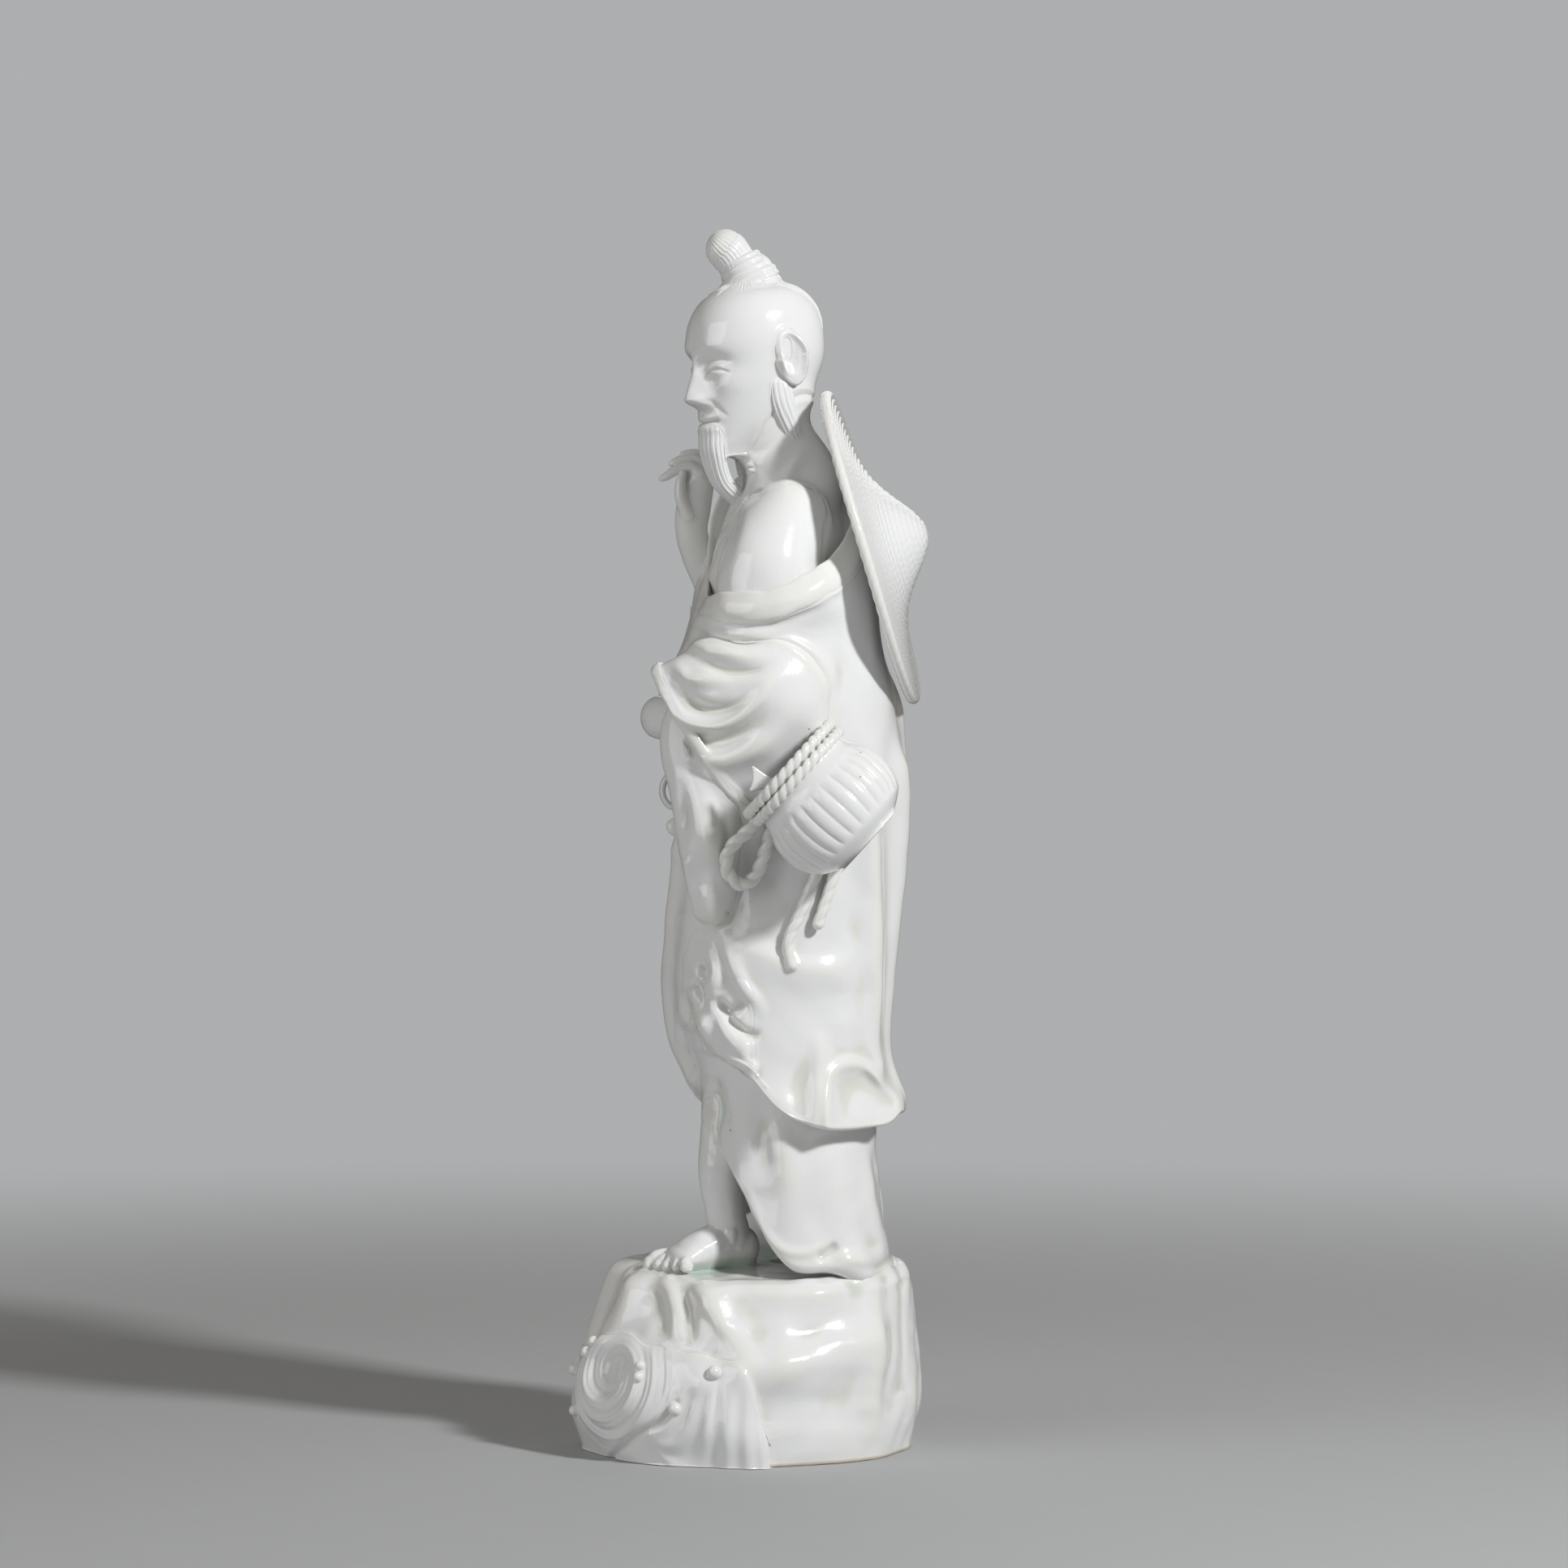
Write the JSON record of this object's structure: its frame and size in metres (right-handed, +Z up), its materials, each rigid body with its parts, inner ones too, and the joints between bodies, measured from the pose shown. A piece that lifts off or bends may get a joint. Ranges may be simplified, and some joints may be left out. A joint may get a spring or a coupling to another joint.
{
  "type": "porcelain fisherman figure",
  "caption": "Standing porcelain fisherman on a rock with waves, straw hat on his back and creel at his hip; a free-standing ornament.",
  "frame": {"origin": "on the table, under the middle of the figure's bounding box", "axes": "+Z up, the figure faces -Y, its left hand side is +X"},
  "size_m": [0.1348, 0.1244, 0.4196],
  "materials": {
    "porcelain": "glossy white glaze"
  },
  "bodies": {
    "root": {"rock_base": "porcelain", "wave_swirl": "porcelain", "wave_fan": "porcelain", "far_wave": "porcelain", "splash_beads": "porcelain", "left_foot": "porcelain", "right_foot": "porcelain", "under_robe": "porcelain", "outer_robe": "porcelain", "front_gather": "porcelain", "left_sleeve": "porcelain", "left_cuff": "porcelain", "left_sleeve_fall": "porcelain", "right_sleeve": "porcelain", "right_cuff": "porcelain", "right_sleeve_fall": "porcelain", "collar_band": "porcelain", "sash_loop": "porcelain", "torso": "porcelain", "left_hand": "porcelain", "right_forearm": "porcelain", "right_thumb": "porcelain", "right_fingers": "porcelain", "head": "porcelain", "left_ear": "porcelain", "right_ear": "porcelain", "topknot": "porcelain", "hair_tie": "porcelain", "beard": "porcelain", "left_whisker": "porcelain", "right_whisker": "porcelain", "straw_hat": "porcelain", "hat_pad": "porcelain", "creel": "porcelain", "creel_ropes": "porcelain", "fish": "porcelain", "rope_loop": "porcelain", "long_tie": "porcelain", "short_tie": "porcelain"}
  },
  "joints": []
}
